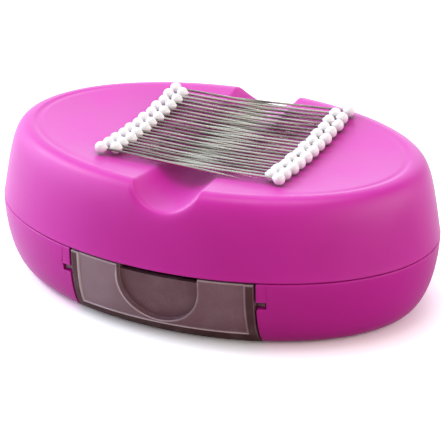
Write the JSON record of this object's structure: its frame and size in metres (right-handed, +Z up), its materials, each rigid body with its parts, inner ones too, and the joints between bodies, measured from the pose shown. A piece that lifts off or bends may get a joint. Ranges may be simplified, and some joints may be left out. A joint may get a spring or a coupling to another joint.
{
  "type": "magnetic pin cushion",
  "caption": "Oval two-part magnetic pin cushion with a finger channel across its dished top, ball-head pins bridging the channel and a tray drawer in its front.",
  "frame": {"origin": "on the table under the middle of the oval case", "axes": "+X along the case's long axis, -Y towards the drawer front, +Z up; the drawer slides out along -Y"},
  "size_m": [0.108, 0.075, 0.0391],
  "materials": {
    "case_pink": "magenta pink injection-moulded plastic with a fine satin texture",
    "drawer_smoke": "smoky brown-grey translucent plastic, glossy",
    "magnet_ferrite": "dark grey sintered ferrite",
    "screw_steel": "zinc-plated steel",
    "pin_steel": "bright nickel-plated steel wire",
    "pin_bead": "glossy white plastic ball head"
  },
  "bodies": {
    "case": {"upper_shell": "case_pink", "base_shell": "case_pink", "magnet_left": "magnet_ferrite", "magnet_right": "magnet_ferrite", "case_screw_1": "screw_steel", "case_screw_2": "screw_steel", "case_screw_3": "screw_steel", "case_screw_4": "screw_steel"},
    "drawer": {"drawer": "drawer_smoke"},
    "pin_01": {"pin_01": "pin_steel"},
    "pin_02": {"pin_02": "pin_steel"},
    "pin_03": {"pin_03": "pin_steel"},
    "pin_04": {"pin_04": "pin_steel"},
    "pin_05": {"pin_05": "pin_steel"},
    "pin_06": {"pin_06": "pin_steel"},
    "pin_07": {"pin_07": "pin_steel"},
    "pin_08": {"pin_08": "pin_steel"},
    "pin_09": {"pin_09": "pin_steel"},
    "pin_10": {"pin_10": "pin_steel"},
    "pin_11": {"pin_11": "pin_steel"},
    "pin_12": {"pin_12": "pin_steel"},
    "pin_13": {"pin_13": "pin_steel"},
    "pin_14": {"pin_14": "pin_steel"},
    "pin_15": {"pin_15": "pin_steel"},
    "pin_16": {"pin_16": "pin_steel"},
    "pin_17": {"pin_17": "pin_steel"},
    "pin_18": {"pin_18": "pin_steel"},
    "pin_19": {"pin_19": "pin_steel"},
    "pin_20": {"pin_20": "pin_steel"},
    "pin_21": {"pin_21": "pin_steel"},
    "pin_22": {"pin_22": "pin_steel"},
    "pin_23": {"pin_23": "pin_steel"},
    "pin_24": {"pin_24": "pin_steel"},
    "pin_25": {"pin_25": "pin_steel"},
    "pin_26": {"pin_26": "pin_steel"},
    "pin_27": {"pin_27": "pin_steel"},
    "pin_28": {"pin_28": "pin_steel"},
    "pin_29": {"pin_29": "pin_steel"},
    "pin_30": {"pin_30": "pin_steel"},
    "pin_31": {"pin_31": "pin_steel"},
    "pin_32": {"pin_32": "pin_steel"},
    "pin_33": {"pin_33": "pin_steel"},
    "pin_34": {"pin_34": "pin_steel"},
    "pin_35": {"pin_35": "pin_steel"},
    "pin_36": {"pin_36": "pin_steel"},
    "pin_37": {"pin_37": "pin_steel"},
    "pin_38": {"pin_38": "pin_steel"},
    "pin_39": {"pin_39": "pin_steel"},
    "pin_40": {"pin_40": "pin_steel"},
    "pin_41": {"pin_41": "pin_steel"},
    "pin_42": {"pin_42": "pin_steel"},
    "pin_43": {"pin_43": "pin_steel"},
    "pin_44": {"pin_44": "pin_steel"},
    "pin_45": {"pin_45": "pin_steel"},
    "pin_46": {"pin_46": "pin_steel"}
  },
  "joints": [
    {"name": "drawer_slide", "type": "slide", "parent": "case", "child": "drawer", "axis": [0, -1, 0], "range_m": [0, 0.044]},
    {"name": "pin_01_lift", "type": "slide", "parent": "case", "child": "pin_01", "axis": [0, 0, 1], "range_m": [0, 0.04]},
    {"name": "pin_02_lift", "type": "slide", "parent": "case", "child": "pin_02", "axis": [0, 0, 1], "range_m": [0, 0.04]},
    {"name": "pin_03_lift", "type": "slide", "parent": "case", "child": "pin_03", "axis": [0, 0, 1], "range_m": [0, 0.04]},
    {"name": "pin_04_lift", "type": "slide", "parent": "case", "child": "pin_04", "axis": [0, 0, 1], "range_m": [0, 0.04]},
    {"name": "pin_05_lift", "type": "slide", "parent": "case", "child": "pin_05", "axis": [0, 0, 1], "range_m": [0, 0.04]},
    {"name": "pin_06_lift", "type": "slide", "parent": "case", "child": "pin_06", "axis": [0, 0, 1], "range_m": [0, 0.04]},
    {"name": "pin_07_lift", "type": "slide", "parent": "case", "child": "pin_07", "axis": [0, 0, 1], "range_m": [0, 0.04]},
    {"name": "pin_08_lift", "type": "slide", "parent": "case", "child": "pin_08", "axis": [0, 0, 1], "range_m": [0, 0.04]},
    {"name": "pin_09_lift", "type": "slide", "parent": "case", "child": "pin_09", "axis": [0, 0, 1], "range_m": [0, 0.04]},
    {"name": "pin_10_lift", "type": "slide", "parent": "case", "child": "pin_10", "axis": [0, 0, 1], "range_m": [0, 0.04]},
    {"name": "pin_11_lift", "type": "slide", "parent": "case", "child": "pin_11", "axis": [0, 0, 1], "range_m": [0, 0.04]},
    {"name": "pin_12_lift", "type": "slide", "parent": "case", "child": "pin_12", "axis": [0, 0, 1], "range_m": [0, 0.04]},
    {"name": "pin_13_lift", "type": "slide", "parent": "case", "child": "pin_13", "axis": [0, 0, 1], "range_m": [0, 0.04]},
    {"name": "pin_14_lift", "type": "slide", "parent": "case", "child": "pin_14", "axis": [0, 0, 1], "range_m": [0, 0.04]},
    {"name": "pin_15_lift", "type": "slide", "parent": "case", "child": "pin_15", "axis": [0, 0, 1], "range_m": [0, 0.04]},
    {"name": "pin_16_lift", "type": "slide", "parent": "case", "child": "pin_16", "axis": [0, 0, 1], "range_m": [0, 0.04]},
    {"name": "pin_17_lift", "type": "slide", "parent": "case", "child": "pin_17", "axis": [0, 0, 1], "range_m": [0, 0.04]},
    {"name": "pin_18_lift", "type": "slide", "parent": "case", "child": "pin_18", "axis": [0, 0, 1], "range_m": [0, 0.04]},
    {"name": "pin_19_lift", "type": "slide", "parent": "case", "child": "pin_19", "axis": [0, 0, 1], "range_m": [0, 0.04]},
    {"name": "pin_20_lift", "type": "slide", "parent": "case", "child": "pin_20", "axis": [0, 0, 1], "range_m": [0, 0.04]},
    {"name": "pin_21_lift", "type": "slide", "parent": "case", "child": "pin_21", "axis": [0, 0, 1], "range_m": [0, 0.04]},
    {"name": "pin_22_lift", "type": "slide", "parent": "case", "child": "pin_22", "axis": [0, 0, 1], "range_m": [0, 0.04]},
    {"name": "pin_23_lift", "type": "slide", "parent": "case", "child": "pin_23", "axis": [0, 0, 1], "range_m": [0, 0.04]},
    {"name": "pin_24_lift", "type": "slide", "parent": "case", "child": "pin_24", "axis": [0, 0, 1], "range_m": [0, 0.04]},
    {"name": "pin_25_lift", "type": "slide", "parent": "case", "child": "pin_25", "axis": [0, 0, 1], "range_m": [0, 0.04]},
    {"name": "pin_26_lift", "type": "slide", "parent": "case", "child": "pin_26", "axis": [0, 0, 1], "range_m": [0, 0.04]},
    {"name": "pin_27_lift", "type": "slide", "parent": "case", "child": "pin_27", "axis": [0, 0, 1], "range_m": [0, 0.04]},
    {"name": "pin_28_lift", "type": "slide", "parent": "case", "child": "pin_28", "axis": [0, 0, 1], "range_m": [0, 0.04]},
    {"name": "pin_29_lift", "type": "slide", "parent": "case", "child": "pin_29", "axis": [0, 0, 1], "range_m": [0, 0.04]},
    {"name": "pin_30_lift", "type": "slide", "parent": "case", "child": "pin_30", "axis": [0, 0, 1], "range_m": [0, 0.04]},
    {"name": "pin_31_lift", "type": "slide", "parent": "case", "child": "pin_31", "axis": [0, 0, 1], "range_m": [0, 0.04]},
    {"name": "pin_32_lift", "type": "slide", "parent": "case", "child": "pin_32", "axis": [0, 0, 1], "range_m": [0, 0.04]},
    {"name": "pin_33_lift", "type": "slide", "parent": "case", "child": "pin_33", "axis": [0, 0, 1], "range_m": [0, 0.04]},
    {"name": "pin_34_lift", "type": "slide", "parent": "case", "child": "pin_34", "axis": [0, 0, 1], "range_m": [0, 0.04]},
    {"name": "pin_35_lift", "type": "slide", "parent": "case", "child": "pin_35", "axis": [0, 0, 1], "range_m": [0, 0.04]},
    {"name": "pin_36_lift", "type": "slide", "parent": "case", "child": "pin_36", "axis": [0, 0, 1], "range_m": [0, 0.04]},
    {"name": "pin_37_lift", "type": "slide", "parent": "case", "child": "pin_37", "axis": [0, 0, 1], "range_m": [0, 0.04]},
    {"name": "pin_38_lift", "type": "slide", "parent": "case", "child": "pin_38", "axis": [0, 0, 1], "range_m": [0, 0.04]},
    {"name": "pin_39_lift", "type": "slide", "parent": "case", "child": "pin_39", "axis": [0, 0, 1], "range_m": [0, 0.04]},
    {"name": "pin_40_lift", "type": "slide", "parent": "case", "child": "pin_40", "axis": [0, 0, 1], "range_m": [0, 0.04]},
    {"name": "pin_41_lift", "type": "slide", "parent": "case", "child": "pin_41", "axis": [0, 0, 1], "range_m": [0, 0.04]},
    {"name": "pin_42_lift", "type": "slide", "parent": "case", "child": "pin_42", "axis": [0, 0, 1], "range_m": [0, 0.04]},
    {"name": "pin_43_lift", "type": "slide", "parent": "case", "child": "pin_43", "axis": [0, 0, 1], "range_m": [0, 0.04]},
    {"name": "pin_44_lift", "type": "slide", "parent": "case", "child": "pin_44", "axis": [0, 0, 1], "range_m": [0, 0.04]},
    {"name": "pin_45_lift", "type": "slide", "parent": "case", "child": "pin_45", "axis": [0, 0, 1], "range_m": [0, 0.04]},
    {"name": "pin_46_lift", "type": "slide", "parent": "case", "child": "pin_46", "axis": [0, 0, 1], "range_m": [0, 0.04]}
  ]
}
